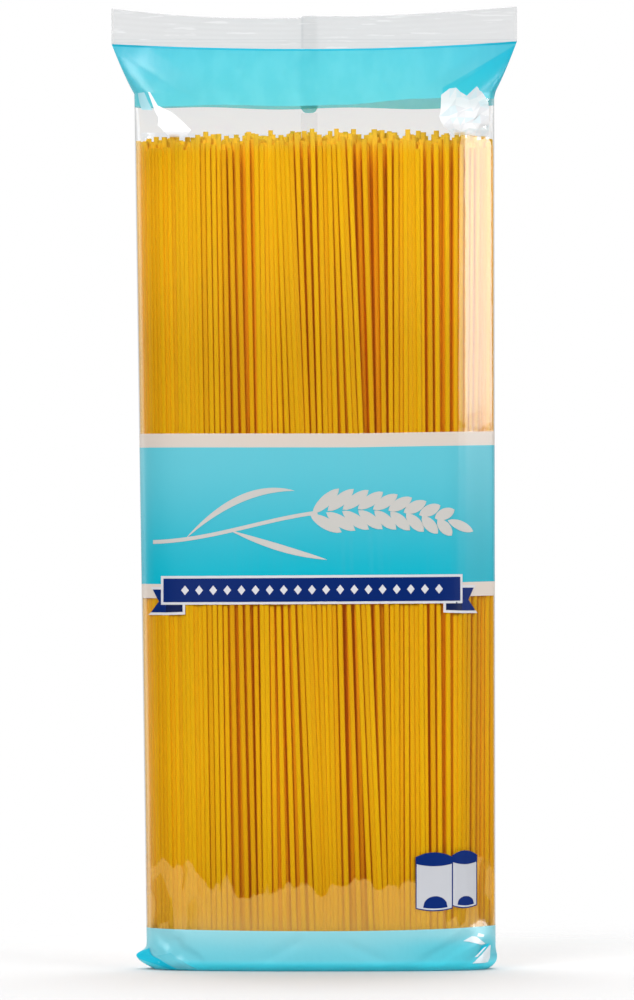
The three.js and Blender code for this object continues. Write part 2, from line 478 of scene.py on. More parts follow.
# %% [markdown]
# ## The bundle
#
# The strands just under the film are the ones that show, and they are packed by the film into rings
# that follow its section. A strand's foot and head each get a place along such a ring. The places keep
# their order at both ends, so a straight strand between them can lean without ever crossing its
# neighbour. They are packed a little closer than they are thick, so where two touch, their sides run
# into each other and no light shows between them. Leaving different gaps at the two ends is what makes
# the long thin V-shaped shadows. Inside the rings, a honeycomb fills the rest.

# %% Places for the strands
# A strand's thickness, how far apart the middles of two that touch are, and the fullness of its
# section, where 2 would be a circle and more is squarer.
STRAND = 1.56
PITCH = 1.42
FULLNESS = 3.2
# For each ring, from the outside in: how far in it lies, the length left for gaps, and how much of the
# full depth its strands sit back.
RING_INSETS = (0.90, 2.80, 4.36)
RING_SLACK = (46.0, 34.0, 12.0)
RING_DEPTHS = (1.0, 0.3, 0.2)
CORE_INSET = 5.9
CORE_PITCH = STRAND * 1.035
SWAY = 2.6
LEAN_TOGETHER = 4.5
CORNERS = (0.06, 0.44, 0.56, 0.94)
FOOT_LEVEL, PACKED_AT, HEAD_LEVEL = 40.0, 150.0, 250.0
LINE_POINTS = 3001
MOST_IN_A_RING = 400
SET_BACK, TIGHT, APART = 0.42, 0.45, 0.26
rng = np.random.default_rng(20)


def ring_line(h, inset):
    """The film's section at a height, moved inwards: points all round, and their distance along it."""
    line = film(np.linspace(0.0, 1.0, LINE_POINTS), h)[:, :2]
    along = np.gradient(line, axis=0)
    line = line - unit(np.stack([along[:, 1], -along[:, 0]], -1)) * inset
    steps = np.linalg.norm(np.diff(line, axis=0), axis=1)
    return line, np.concatenate([[0.0], np.cumsum(steps)])


def ring_places(h, inset, sunk, pitches, gaps):
    """Points along the inset section: a strand follows the last by the mean of their pitches and gaps."""
    line, distance = ring_line(h, inset)
    deeper, _ = ring_line(h, inset + 1.0)
    steps = gaps + pitches
    centres = (np.cumsum(steps) - steps / 2) / steps.sum() * distance[-1]
    near, far = (np.stack([np.interp(centres, distance, xy) for xy in ring.T], -1) for ring in (line, deeper))
    return blend(near, far, sunk[:, None])


def wander(count, size):
    """Smooth random numbers around 0, one for each strand of a ring; neighbours within the size agree."""
    waves = rng.normal(0.0, 1.0, count)
    reach = np.exp(-((np.minimum(np.arange(count), count - np.arange(count)) / size) ** 2))
    smooth = np.fft.ifft(np.fft.fft(waves) * np.fft.fft(reach)).real
    return smooth / smooth.std()


def ring_strands(inset, slack, depth):
    """Foot and head places of one ring, with bunches that touch and lean, and gaps between them."""
    length = ring_line(PACKED_AT, inset)[1][-1]
    many = MOST_IN_A_RING
    back = rng.random(many) < SET_BACK
    sunk = np.where(back, rng.uniform(0.25, 1.0, many), rng.uniform(0.0, 0.15, many)) * depth
    pitches = np.sqrt(PITCH**2 - (sunk - np.roll(sunk, -1)) ** 2)
    pitches = pitches * np.where(rng.random(many) < TIGHT, 0.89, 1.0)
    count = int(np.searchsorted(np.cumsum(pitches), length - slack))
    sunk, pitches = sunk[:count], pitches[:count]
    place = (np.arange(count) + 0.5) / count
    looseness = 0.04 + share(place, 0.12, 0.15) * share(place, 0.43, 0.39) + 0.4 * hill(place, 0.75, 0.2)
    gaps = np.where(rng.random(count) < APART, rng.gamma(1.8, 1.0, count), 0.01) * looseness
    gaps = gaps * slack / gaps.sum()
    shift = SWAY * wander(count, 2.6) * looseness - LEAN_TOGETHER * hill(place, 0.235, 0.06)
    spread = np.gradient(shift)
    parts = np.split(np.arange(count), (np.array(CORNERS) * count).astype(int))
    ends = []
    for h, sign in ((FOOT_LEVEL, -1.0), (HEAD_LEVEL, 1.0)):
        opened = np.maximum(gaps + sign * spread, 0.004)
        for part in parts:
            opened[part] *= gaps[part].sum() / opened[part].sum()
        room = ring_line(h, inset)[1][-1] - pitches.sum()
        ends.append(ring_places(h, inset, sunk, pitches, opened * room / opened.sum()))
    print("farthest lean in a ring:", round(np.abs(ends[1] - ends[0])[:, 0].max(), 1), "mm from foot to head")
    return *ends, inset + sunk


def core_strands():
    """Foot and head places of a honeycomb that fills the section inside the rings."""
    i, j = np.meshgrid(np.arange(-40, 41), np.arange(-14, 15))
    spots = CORE_PITCH * np.stack([i + 0.5 * (j % 2), j * math.sqrt(0.75)], -1).reshape(-1, 2)
    levels = FOOT_LEVEL, HEAD_LEVEL
    foot, head = (spots * [half_width(h) / HEAD_HALF_WIDTH, 1.0] + [middle_line(h), 0.0] for h in levels)
    wide, deep = half_width(HEAD_LEVEL) - CORE_INSET, half_depth(HEAD_LEVEL) - CORE_INSET
    x, y = head[:, 0] - middle_line(HEAD_LEVEL), head[:, 1]
    inside = np.abs(x / wide) ** SQUARENESS + np.abs(y / deep) ** 2.2 < 1
    loose = rng.uniform(-0.05, 0.05, (inside.sum(), 2))
    return foot[inside] + loose, head[inside] - loose


rings = [ring_strands(*numbers) for numbers in zip(RING_INSETS, RING_SLACK, RING_DEPTHS)]
core = core_strands()
print("strands in the rings:", [len(foot) for foot, _, _ in rings], "and in the core:", len(core[0]))

# %% [markdown]
# A strand is a thin straight tube with flat cut ends. Thousands of modifiers would be slow, so all the
# tubes of a group are worked out in one array: centre line, plus a circle, for every strand at once.

# %% Strands as one mesh
LOWEST_CUT = 3.4
CORNER_RISE, CORNER_FROM, CORNER_TO = 6.0, 0.82, 0.88
PROUD_STRANDS, PROUD_BY = 0.3, (0.6, 3.6)
SWELL, SWELL_LENGTH = 0.7, 20.0


def strand_piece(name, foot, head, inward, sides, steps, tall):
    """Rounded tubes through foot and head places (given at two levels), cut off unevenly at both ends."""
    count = len(foot)
    corner = np.abs(foot[:, 0] - LEAN) / FOOT_HALF_WIDTH
    rise = CORNER_RISE * ease(share(corner, CORNER_FROM, CORNER_TO))
    low = LOWEST_CUT + np.abs(rng.normal(0.0, 0.45, count)) + rise
    proud = np.where(rng.random(count) < PROUD_STRANDS, rng.uniform(*PROUD_BY, count), 0.0)
    swell = SWELL * np.sin((foot[:, 0] + SWELL_LENGTH) / SWELL_LENGTH)
    high = tall + np.clip(rng.normal(0.0, 0.7, count), -1.6, 1.4) + proud + swell
    radius = STRAND / 2 * rng.uniform(0.96, 1.02, count)
    outward = unit(foot**3 / np.array([HEAD_HALF_WIDTH, HALF_DEPTH]) ** 4)
    aside = np.stack([-outward[:, 1], outward[:, 0]], -1)
    z = blend(low[:, None], high[:, None], np.linspace(0.0, 1.0, steps + 1))
    way = (head - foot) / (HEAD_LEVEL - FOOT_LEVEL)
    xy = foot[:, None, :] + way[:, None, :] * (z[..., None] - FOOT_LEVEL)
    angle = 2 * np.pi * (np.arange(sides) + 0.5) / sides
    section = np.stack([np.cos(angle), np.sin(angle)], -1)
    section = np.sign(section) * np.abs(section) ** (2 / FULLNESS)
    circle = section[None, :, :1] * aside[:, None] + section[None, :, 1:] * outward[:, None]
    circle = circle * radius[:, None, None]
    points = np.zeros((count, steps + 1, sides, 3))
    points[..., :2] = xy[:, :, None, :] + circle[:, None, :, :]
    points[..., 2] = z[:, :, None]
    start = (np.arange(count) * (steps + 1) * sides)[:, None]
    walls = (grid_faces(steps + 1, sides, around=True) + start[..., None]).reshape(-1, 4)
    lids = np.concatenate([np.arange(sides) + steps * sides + start, np.arange(sides)[::-1] + start])
    which = np.repeat([0, 1], [len(walls), len(lids)])
    piece = make_piece(name, points, walls.tolist() + lids.tolist(), [pasta, pasta_cut], which)
    piece.data.polygons.foreach_set("use_smooth", which == 0)
    sunk = inward[:, None, None] - (circle * outward[:, None]).sum(-1)[:, None] + 0 * z[..., None]
    own = np.repeat(rng.random(count), (steps + 1) * sides)
    for title, values in (("strand", own), ("inward", sunk.ravel())):
        layer = piece.data.attributes.new(title, "FLOAT", "POINT")
        layer.data.foreach_set("value", values.astype(np.float32))
    return piece


outer = strand_piece("strands_outer", *rings[0], sides=16, steps=4, tall=256.2)
behind = [np.concatenate([rings[1][i], rings[2][i]]) for i in range(3)]
middle = strand_piece("strands_middle", *behind, sides=12, steps=3, tall=256.4)
inner = strand_piece("strands_inner", *core, np.full(len(core[0]), CORE_INSET), sides=8, steps=1, tall=256.5)

# %% [markdown]
# ## Film and ink
#
# Clear film is almost nothing but reflection: light passes straight through, and a share that grows
# towards grazing angles is mirrored. Mixing a Transparent shader with a Glossy one by Fresnel gives
# just that, at a fraction of the cost of real glass. Ink on the film is a thin coloured layer, so a
# printed field is the same film with an opaque, slightly translucent paint under the gloss.

# %% Film materials
FILM_IOR = 1.5
FILM_TINT = srgb(248, 249, 250)
FILM_GLARE = 0.55
FILM_WAVES = 0.0006
# The milky veil's colour, which at the corners above the foot also paints glints.
HAZE_AND_GLINT = srgb(255, 204, 96)
INK_GLOW = (*srgb(130, 220, 235), 1.0)


def film_bump(paint, vector, strength=0.35):
    """The film's faint unevenness: broad soft waves with finer ones on them."""
    broad = paint.noise(vector, 14.0, 2.0, (1, 1, 2.2))
    fine = paint.noise(vector, 3.2, 2.0, (1, 1, 1.6))
    return paint.bump(broad * 0.8 + fine * 0.2, FILM_WAVES, strength)


def clear_film(name, haze=None, shine=1.8):
    """See-through film: Fresnel gloss over a clear pane, and where haze says so, a milky veil that at the
    corners also paints highlights.
    """
    paint = Paint(name)
    vector, x, _, z = paint.place()
    normal = film_bump(paint, vector)
    inside = paint.node("ShaderNodeNewGeometry", output="Backfacing")
    index = FILM_IOR - inside * (FILM_IOR - 1.0 / FILM_IOR)
    mirror = paint.node("ShaderNodeFresnel", None, {"IOR": index, "Normal": normal})
    amount = (mirror * shine).maths("MINIMUM", FILM_GLARE)
    clear = paint.node("ShaderNodeBsdfTransparent", None, {"Color": (*FILM_TINT, 1.0)})
    gloss = paint.node("ShaderNodeBsdfAnisotropic", None, {"Roughness": 0.09, "Normal": normal})
    surface = paint.blended(amount, clear, gloss)
    if haze is not None:
        values = {"Base Color": (*HAZE_AND_GLINT, 1.0), "Roughness": 0.4, "Normal": normal}
        milky = paint.node("ShaderNodeBsdfPrincipled", None, values)
        surface = paint.blended(haze(paint, vector, x, z), surface, milky)
    return paint.finish(surface)


def ink(name, colour_of, cover, roughness=0.25, bump=0.2, lit_through=0.0, gloss=0.5):
    """A printed field: coloured ink that lets a little of what is behind it through, under a gloss."""
    paint = Paint(name)
    vector, x, _, z = paint.place()
    colour = colour_of(paint, vector, x, z) if callable(colour_of) else (*colour_of, 1.0)
    normal = film_bump(paint, vector, bump)
    values = {"Base Color": colour, "Roughness": roughness, "Specular IOR Level": gloss, "Normal": normal}
    paper = paint.node("ShaderNodeBsdfPrincipled", None, values)
    if lit_through:
        glow = paint.node("ShaderNodeBsdfTranslucent", None, {"Color": INK_GLOW})
        paper = paint.blended(lit_through, paper, glow)
    clear = paint.node("ShaderNodeBsdfTransparent", None, {"Color": (1.0, 1.0, 1.0, 1.0)})
    return paint.finish(paint.blended(cover(z) if callable(cover) else cover, clear, paper))


def haze_and_glints(paint, vector, x, z):
    """Milky film: a veil above the foot, higher at the corners, broken there into patches of painted
    highlight and clear film.
    """
    drips = paint.noise(vector, 7.0, 2.0, (1, 1, 2.5))
    sides = x.between(-32.0, -44.0) + x.between(34.0, 44.0)
    veil = (z + drips * 22.0 - sides * 7.0).between(38.0, 36.6, 0.0, 0.3)
    # Painted highlight: at the corners the veil shows in straight-edged patches, for glints on crinkled film.
    glint_patches = paint.cells(vector, 3.6, (1, 1, 2.2)).between(0.62, 0.67, 1.0, 0.25)
    return veil * (1.0 - sides * (1.0 - glint_patches))


def label_blue_and_shade(paint, vector, x, z):
    """The label's cyan: paler towards its upper edge, and darkened a little at the right corner by painted
    shade.
    """
    colour = paint.mix(z.between(120.0, 163.0), srgb(0, 184, 207), srgb(100, 204, 221))
    # Painted shade where the label turns away round the right corner.
    return paint.mix(x.between(38.0, 52.0, 0.0, 0.4), colour, srgb(10, 170, 190))


def top_cyan_and_shade(paint, vector, x, z):
    """The top band's cyan: soft upright strokes of painted shade for its dents, and a deeper corner where the
    folded film doubles it.
    """
    # Painted shade: soft upright strokes where the film's dents turn from the light.
    dent_shade = paint.noise(vector, 5.0, 2.0, (1, 1, 5)).between(0.35, 0.65)
    colour = paint.mix(dent_shade, srgb(86, 210, 229), srgb(98, 216, 234))
    corner = (x * 0.6 - z).between(-250.6, -250.1) * x.between(39.6, 40.2)
    return paint.mix(corner, colour, srgb(0, 202, 226))


def seal_grey(paint, vector, x, z):
    """The pressed seal: light grey, pale streaks along it, two fainter lines, and a short upright one."""
    streaks = paint.noise(vector, 0.8, 3.0, (14, 1, 1)).between(0.6, 0.68)
    lines = x.between(-4.2, -4.0) * x.between(-3.3, -3.5) * z.between(286.9, 287.1)
    for low in (288.4, 289.4):
        lines = lines + z.between(low, low + 0.2) * z.between(low + 0.5, low + 0.3)
    grey = paint.mix(lines, srgb(226, 227, 228), srgb(218, 220, 222))
    return paint.mix(streaks, grey, srgb(240, 241, 242))


def foot_cyan_painted_light(paint, vector, x, z):
    """The foot band's cyan, with painted light: paler at its upper edge, deeper at the right, brighter where
    it turns under.
    """
    # Painted light: the upper edge, which bags out upwards, is paler; the right corner gets painted shade;
    # and where the film turns under, a brighter cyan outweighs the shade there.
    colour = paint.mix(z.between(4.0, 13.0), srgb(101, 195, 211), srgb(131, 199, 210))
    colour = paint.mix(x.between(18.0, 44.0) * z.between(12.0, 7.0, 0.0, 0.7), colour, srgb(52, 186, 204))
    return paint.mix(z.between(4.0, 1.2), colour, srgb(52, 216, 236))


film_clear = clear_film("film_clear", haze_and_glints)
seal_film = ink("seal_film", seal_grey, 0.58, roughness=0.35, bump=0.15)
ink_root = ink("ink_seal_line", srgb(0, 182, 212), 0.97, roughness=0.4, bump=0.35)
ink_top = ink("ink_top_band", top_cyan_and_shade, 0.92, bump=0.8, lit_through=0.35)
ink_label = ink("ink_label", label_blue_and_shade, 0.95, bump=0.25)
ink_cream = ink("ink_cream_stripe", srgb(225, 213, 202), 0.96, bump=0.25)
ink_foot = ink("ink_foot_band", foot_cyan_painted_light, 0.93, roughness=0.38, bump=0.9)

# %% [markdown]
# ## The bag
#
# The bag is one closed skin. Its rows of faces follow the edges of the printed fields, which wander a
# little as real printing on loose film does, so each field has a crisp edge made of plain geometry.
# A field's edge is a height plus a small shift that depends on where round the tube it is.

# %% Print edges and rows of the bag
COLUMNS = 264
CRIMPS, CRIMP_DEPTH = 6, 0.01
u = np.arange(COLUMNS) / COLUMNS
across = place_across(u)
x = across * HEAD_HALF_WIDTH
# The foot band's edge is a shallow smile, the label's edges climb a little at the right corner, and
# the top band's edge has gentle waves and climbs at the right of the front.
foot_edge = np.where(across < 0, 0.5, 1.2) * across**2
label_edge = 0.8 * share(across, 0.2, 1.0)
front_waves = 0.2 * np.sin(x / 6.0) + 2.3 * ease(share(x, 8, 32))
band_edge = np.where(u < 0.5, front_waves, 0.2 + 0.3 * np.sin(x / 7.0))

# From the foot up: the field's upper edge, how that edge wanders, rows of faces, and its material.
FIELDS = [
    (12.6, foot_edge, 30, ink_foot),
    (115.6, label_edge, 40, film_clear),
    (120.0, label_edge, 3, ink_cream),
    (162.4, label_edge, 18, ink_label),
    (166.7, label_edge, 3, ink_cream),
    (STRAND_TOP, 0.0, 41, film_clear),
    (268.5, band_edge, 8, film_clear),
    (286.1, 0.0, 46, ink_top),
    (FIN_ROOT, 0.0, 2, ink_root),
    (FIN_TOP, 0.0, 36, seal_film),
]
bag_materials = [ink_foot, film_clear, ink_cream, ink_label, ink_top, ink_root, seal_film]
heights, which = np.zeros((1, COLUMNS)), []
for top, edge, count, material in FIELDS:
    steps = np.arange(1, count + 1)[:, None] / count
    heights = np.concatenate([heights, blend(heights[-1], top + edge, steps)])
    which += [bag_materials.index(material)] * count
bag_points = film(u[None, :], heights)
crimp = np.sin(2 * np.pi * CRIMPS * share(heights, FIN_ROOT, FIN_TOP))
bag_points[..., 1] += CRIMP_DEPTH * np.where(heights > FIN_ROOT, crimp, 0.0)
print("rows in the bag:", len(heights))

# %% [markdown]
# The skin is shut at both ends: under the foot the front and back close along a line, and at the top
# the two films of the seal meet. One extra row at each end, with its depth taken away, does that. The
# film also bends sharply where it leaves the strands, so the edges of that row are marked sharp.

# %% The bag as a mesh
bag_points = np.concatenate([bag_points[:1], bag_points, bag_points[-1:]])
bag_points[[0, -1], :, 1] = bag_points[[0, -1], :, 1].mean(axis=1, keepdims=True)
bag_which = np.repeat([which[0], *which, which[-1]], COLUMNS)
bag_faces = grid_faces(len(bag_points), COLUMNS, around=True)
bag = make_piece("film_bag", bag_points, bag_faces.tolist(), bag_materials, bag_which)
ridge_row = 1 + sum(count for top, _, count, _ in FIELDS if top <= STRAND_TOP)
edge_ends = np.zeros(2 * len(bag.data.edges), np.int32)
bag.data.edges.foreach_get("vertices", edge_ends)
on_ridge = (edge_ends.reshape(-1, 2) // COLUMNS == ridge_row).all(axis=1)
bag.data.attributes.new("sharp_edge", "BOOLEAN", "EDGE").data.foreach_set("value", on_ridge)

# %% [markdown]
# ## Printed shapes and folds
#
# The printed shapes are thin meshes that lie 0.1 to 0.4 mm outside the film, each layer of ink above
# the last. Each is a grid between a left and a right edge, or between a lower and an upper one, and
# the same helper lays all of them on the film, so they bend round the corners with it.

# %% Shapes on the film
COLUMN_STEP = 1.2
LAYER = 0.003


def between(lower, upper):
    """A grid of (x, z) in three rows between two edges with the same number of points."""
    rows = np.array([0.0, 0.5, 1.0])[:, None, None]
    return blend(np.asarray(lower, float), np.asarray(upper, float), rows)


def spans(left, right, lower, upper):
    """A grid from left to right whose lower and upper edges are functions of x."""
    x = np.linspace(left, right, max(21, int((right - left) / COLUMN_STEP) + 1))
    return between(np.stack([x, lower(x)], -1), np.stack([x, upper(x)], -1))


def lay(name, grids, material, lift=0.12, side=-1):
    """One piece made of all the grids, laid on the film, each a hair above the last."""
    points, faces, start = [], [], 0
    for grid, own_lift in zip(grids, lift + LAYER * np.arange(len(grids))):
        points.append(laid_on(grid[..., 0], grid[..., 1], own_lift, side).reshape(-1, 3))
        faces.append(grid_faces(*grid.shape[:2])[:, ::-side] + start)
        start += grid.shape[0] * grid.shape[1]
    piece = make_piece(name, np.concatenate(points), np.concatenate(faces).tolist(), [material])
    return piece


def refined(grid, columns):
    """The same grid with more columns, evenly spaced between the old ones."""
    at = np.linspace(0, grid.shape[1] - 1, columns)
    first = np.minimum(at.astype(int), grid.shape[1] - 2)
    return blend(grid[:, first], grid[:, first + 1], (at - first)[None, :, None])


def line(x0, z0, x1, z1):
    """The straight line through two points, as a function of x."""
    return lambda x: blend(z0, z1, (x - x0) / (x1 - x0))


def raised(edge, rise):
    """The same edge, higher by the rise."""
    return lambda x: edge(x) + rise


# %% The ribbon on the label
ink_navy = ink("ink_navy", srgb(0, 36, 106), 0.98, roughness=0.35, bump=0.04, gloss=0.15)
ink_navy_fold = ink("ink_navy_fold", srgb(2, 24, 74), 0.98)
ink_pale = ink("ink_pale", srgb(222, 222, 226), 0.95)
RIBBON_LEFT, RIBBON_RIGHT, RIM = -46.7, 45.3, 0.8
ribbon_low = line(RIBBON_LEFT, 114.4, RIBBON_RIGHT, 114.9)
ribbon_high = line(RIBBON_LEFT, 121.7, RIBBON_RIGHT, 122.3)
# Each tail: 1 for the left one or -1 for its mirrored twin at the right, and how much higher it sits.
TAIL_ENDS = ((1, 0.0), (-1, 0.6))
TAIL_ROOT, NOTCH, FOLD_END = -46.0, -48.2, -40.8


def tail(flip, rise, rim):
    """A swallow-tailed end behind the ribbon, as two parts, and the fold under it, all grown by the rim."""

    def edge(left, right, z, tilt=0.0):
        """Two corners, the right one higher by the tilt."""
        return [(left * flip, z + rise), (right * flip, z + tilt + rise)]

    notch = edge(NOTCH + rim, TAIL_ROOT, 114.6)
    upper = between(notch, edge(-50.1 - rim, TAIL_ROOT, 118.3 + rim))
    lower = between(edge(-50.7 - rim, TAIL_ROOT, 111.2 - rim), notch)
    under = edge(TAIL_ROOT, FOLD_END + rim, 111.2 - rim, 0.2)
    fold = between(under, edge(TAIL_ROOT, FOLD_END + rim, 113.9))
    return [refined(part[:, ::flip], 9) for part in (upper, lower, fold)]


rims = [part for end in TAIL_ENDS for part in tail(*end, RIM)]
tails = [tail(*end, 0.0) for end in TAIL_ENDS]
ribbon_rim = spans(RIBBON_LEFT - RIM, RIBBON_RIGHT + RIM, raised(ribbon_low, -RIM), raised(ribbon_high, RIM))
ribbon_parts = [
    lay("ribbon_tail_rims", rims, ink_pale, 0.09),
    lay("ribbon_tails", tails[0][:2] + tails[1][:2], ink_navy, 0.14),
    lay("ribbon_folds", [tails[0][2], tails[1][2]], ink_navy_fold, 0.14),
    lay("ribbon_rim", [ribbon_rim], ink_pale, 0.18),
    lay("ribbon", [spans(RIBBON_LEFT, RIBBON_RIGHT, ribbon_low, ribbon_high)], ink_navy, 0.27),
]

LOZENGES, LOZENGE_WIDE, LOZENGE_TALL = 19, 1.2, 1.5
lozenges = []
for x in np.linspace(-40.0, 38.6, LOZENGES):
    level = (ribbon_low(x) + ribbon_high(x)) / 2
    left, right = (x - LOZENGE_WIDE, level), (x + LOZENGE_WIDE, level)
    tips = (x, level - LOZENGE_TALL), (x, level + LOZENGE_TALL)
    lozenges.append(between(*([left, tip, right] for tip in tips)))
ribbon_parts.append(lay("ribbon_lozenges", lozenges, ink_pale, 0.31))

# %% A plain ear of wheat on the label


def kernel(x, z, long, wide, turn):
    """A grain: a pointed oval of the given half sizes, turned by an angle in degrees."""
    t = np.linspace(-1, 1, 11)
    half = wide * (1 - t**2) ** 0.75
    c, s = math.cos(math.radians(turn)), math.sin(math.radians(turn))
    edges = [np.stack([x + long * t * c - w * s, z + long * t * s + w * c], -1) for w in (-half, half)]
    return between(*edges)


WAVE, WAVE_LENGTH = 5.0, 21.0
GRAIN_TURN, GRAIN_LONG, GRAIN_WIDE, GRAIN_AWAY = 36.0, 5.6, 1.75, 3.5
EAR_END = 45.6


def stalk(x):
    """The height of the stalk's middle line: one slow wave."""
    return 138.0 + WAVE * np.sin((x + 20.0) / WAVE_LENGTH)


grains = []
for step in range(9):
    x = 2.0 + 4.6 * step
    slope = math.degrees(math.atan(WAVE / WAVE_LENGTH * math.cos((x + 20.0) / WAVE_LENGTH)))
    smaller = 1.0 - 0.05 * step
    for sign in (1, -1):
        spot = x + 1.6, stalk(x) + sign * GRAIN_AWAY * smaller
        grains.append(kernel(*spot, GRAIN_LONG * smaller, GRAIN_WIDE, slope + sign * GRAIN_TURN))
grains.append(kernel(EAR_END, stalk(EAR_END), 4.6, 1.5, -22.0))
stem = spans(-50.0, 1.0, raised(stalk, -0.6), raised(stalk, 0.6))


def blade(left, long, rise, droop, thick):
    """A long leaf that leaves the stalk at left, bends up or down in a bow and ends in a point."""

    def lower(x):
        t = (x - left) / long
        return stalk(left) + rise * t - droop * t**2

    def upper(x):
        return lower(x) + thick * np.sin(np.pi * (x - left) / long) ** 0.8

    return spans(left, left + long, lower, upper)


leaves = [blade(-40.0, 34.0, 30.0, 15.0, 2.4), blade(-26.0, 30.0, -16.0, -7.0, 2.2)]
ink_ear = ink("ink_ear", srgb(209, 207, 202), 0.95)
ear = lay("printed_ear", [stem, *leaves, *grains], ink_ear)

# %% The two-cell badge near the foot
# Each cell: its left and right sides, its top and foot, and the middle and radius of its half disc.
CELLS = ((31.7, 42.6, 36.9, 19.0, 37.5, 3.8), (43.0, 51.0, 37.4, 19.8, 47.3, 2.9))
CELL_RIM, DISC_BASE = 0.3, 0.5


def dome(left, right, ends, middle):
    """An edge from left to right: a shallow bow from the height of its ends to that of its middle."""
    return lambda x: middle + (ends - middle) * ((2 * x - left - right) / (right - left)) ** 2


def half_disc(edge, centre, radius):
    """The half circle that stands on an edge."""
    return lambda x: edge(x) + np.sqrt(np.maximum(radius**2 - (x - centre) ** 2, 0.0))


badge_cells, badge_caps, badge_discs, badge_rims = [], [], [], []
for left, right, top, low, centre, radius in CELLS:
    head, foot = dome(left, right, top - 1.3, top), dome(left, right, low + 0.7, low)
    cap_low, base = dome(left, right, top - 3.6, top - 4.3), raised(foot, DISC_BASE)
    badge_rims.append(spans(left - CELL_RIM, right + CELL_RIM, raised(foot, -0.35), head))
    badge_cells.append(spans(left, right, foot, head))
    badge_caps.append(spans(left - CELL_RIM, right + CELL_RIM, cap_low, head))
    badge_discs.append(spans(centre - radius, centre + radius, base, half_disc(base, centre, radius)))
ink_badge = ink("ink_badge_cell", srgb(200, 202, 208), 0.88)
badge_parts = [
    lay("badge_rims", badge_rims, ink_navy, 0.10),
    lay("badge_cells", badge_cells, ink_badge, 0.14),
    lay("badge_caps", badge_caps, ink_navy, 0.18),
    lay("badge_discs", badge_discs, ink_navy, 0.18),
]

# %% [markdown]
# Where the tube is folded to meet the seal, the stiff film breaks into small flat facets that catch the
# light one by one. A coarse grid whose corners are pushed out at random, left unsmoothed, gives their
# shape, and their whites and pale greys are painted reflections of the lamps. Single folds and glints at
# the shoulder and the foot are small smooth patches; the white fold at the left shoulder and the white
# glints at the foot are painted highlights.

# %% Crumpled corners and folds
folds = np.random.default_rng(12)
RAISED = 0.1


def rails(left, right, levels, columns):
    """A grid from foot to head between two side edges, each a list of (x, z) from the bottom up."""

    def drawn(edge):
        at, t = np.linspace(0, 1, len(edge)), np.linspace(0, 1, levels)
        return np.stack([np.interp(t, at, values) for values in zip(*edge)], -1)[:, None]

    return blend(drawn(left), drawn(right), np.linspace(0, 1, columns)[None, :, None])


def crumpled(name, grid, height, jitter, materials, odds):
    """A patch of unsmoothed facets, whose inner corners are pushed off the film by up to the height."""
    shake = folds.uniform(-jitter, jitter, grid.shape)
    shake[0], shake[:, 0], shake[:, -1] = 0.0, 0.0, 0.0
    grid = grid + shake
    lift = RAISED + height * folds.random(grid.shape[:2])
    lift[[0, -1]] = RAISED
    lift[:, [0, -1]] = RAISED
    quads = grid_faces(*grid.shape[:2])
    halves = np.concatenate([quads[:, [0, 1, 2]], quads[:, [0, 2, 3]]])
    which = folds.choice(len(materials), len(halves), p=odds)
    points = laid_on(grid[..., 0], grid[..., 1], lift)
    piece = make_piece(name, points, halves.tolist(), materials, which, smooth=False)
    return piece


def fading(z):
    """How thickly the painted reflection on a crease covers: a veil at the strands, nearly solid above them,
    thinner on the band.
    """
    return z.between(258.8, 264.5, 0.35, 0.92) - z.between(267.0, 270.0, 0.0, 0.14)


def leaf_fading(z):
    """How thickly the painted highlight on the leaf-shaped fold covers: it fades quickly where it meets the
    strands.
    """
    return z.between(258.4, 260.0, 0.3, 0.97)


# Painted reflections: the whites and pale greys of the crumpled facets stand for lamps mirrored in them.
crease_glint_inks = [
    ink("crease_glint_white", srgb(225, 226, 227), fading, 0.45),
    ink("crease_glint_grey", srgb(215, 217, 220), fading, 0.45),
    ink("crease_glint_pale", srgb(208, 222, 226), fading, 0.45),
]
CREASE_ODDS = [0.55, 0.25, 0.2]
# A painted highlight: the white leaf where a lamp is mirrored in the fold at the left shoulder.
leaf_highlight_white = ink("leaf_highlight_white", srgb(244, 244, 246), leaf_fading, 0.3)
flap_blue = ink("flap_blue", srgb(172, 222, 232), 0.9, 0.4)
# Painted highlights: the white glints at the foot's right corner.
painted_glint_white = ink("painted_glint_white", srgb(214, 224, 228), 0.95)
crease_cyan = ink("crease_cyan", srgb(0, 184, 212), 0.97, 0.6, gloss=0.2)
crease_light = ink("crease_light", srgb(96, 190, 206), 0.95)

shoulder_left = [(42.9, 259.3), (40.2, 261.9), (38.6, 264.6), (39.2, 266.6), (39.4, 272.6)]
shoulder_right = [(54.4, 259.0), (54.4, 262.2), (54.4, 266.9), (54.1, 270.3), (52.4, 273.4)]
SHOULDER_ROWS = 8
SHOULDER_PEAKS = np.array([-0.8, 1.0, 1.4, 0.2, -1.0, 0.6, -1.0])
shoulder = rails(shoulder_left, shoulder_right, SHOULDER_ROWS, len(SHOULDER_PEAKS))
shoulder[..., 1] += np.linspace(0, 1, SHOULDER_ROWS)[:, None] ** 3 * SHOULDER_PEAKS
leaf_left = [(-44.7, 258.7), (-46.4, 260.2), (-48.6, 262.4), (-48.4, 264.7), (-49.5, 266.9), (-51.7, 272.8)]
leaf_right = [(-39.8, 258.5), (-38.2, 260.7), (-41.6, 264.2), (-44.2, 266.4), (-48.6, 268.6), (-51.1, 272.8)]
flap_left = [(-53.6, 267.4), (-54.3, 269.6), (-54.9, 272.6)]
flap_right = [(-50.2, 267.2), (-51.6, 269.9), (-52.9, 272.8)]
